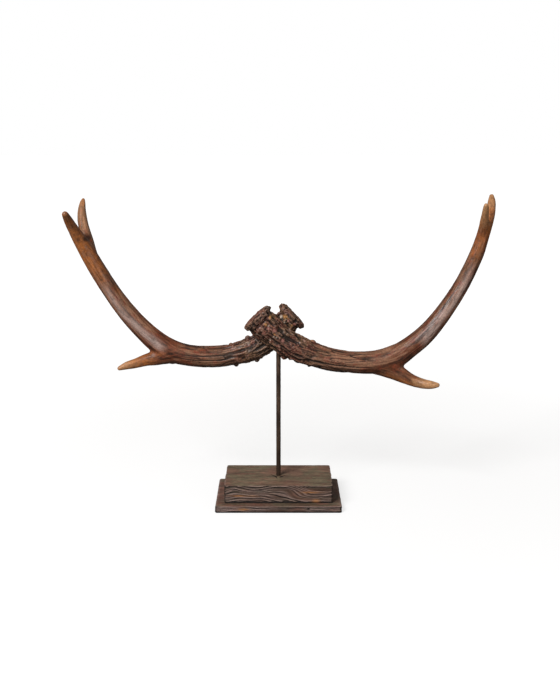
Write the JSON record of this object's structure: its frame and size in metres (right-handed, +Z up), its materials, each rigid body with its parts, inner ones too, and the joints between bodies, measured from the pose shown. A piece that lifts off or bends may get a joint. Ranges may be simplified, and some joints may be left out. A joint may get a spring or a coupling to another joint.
{
  "type": "crossed reindeer antlers on a stand",
  "caption": "Reindeer antler pair crossed at the burrs, each with a lower tine and a forked crown, held on a thin rod above a stepped wooden plinth.",
  "frame": {"origin": "centre of the underside of the lower board, on the surface it stands on", "axes": "+Z up along the rod, +X to the viewer's right along the antlers' spread, +Y away from the viewer"},
  "size_m": [0.5868, 0.111, 0.4397],
  "materials": {
    "antler": "satin",
    "rod": "satin",
    "upper_board": "satin",
    "lower_board": "satin"
  },
  "bodies": {
    "root": {"lower_board": "lower_board", "upper_board": "upper_board", "rod": "rod", "left_antler_lower_beam": "antler", "left_antler_lower_tine": "antler", "left_antler_upper_beam": "antler", "left_antler_front_point": "antler", "left_antler_back_point": "antler", "right_antler_lower_beam": "antler", "right_antler_lower_tine": "antler", "right_antler_upper_beam": "antler", "right_antler_front_point": "antler", "right_antler_back_point": "antler"}
  },
  "joints": []
}
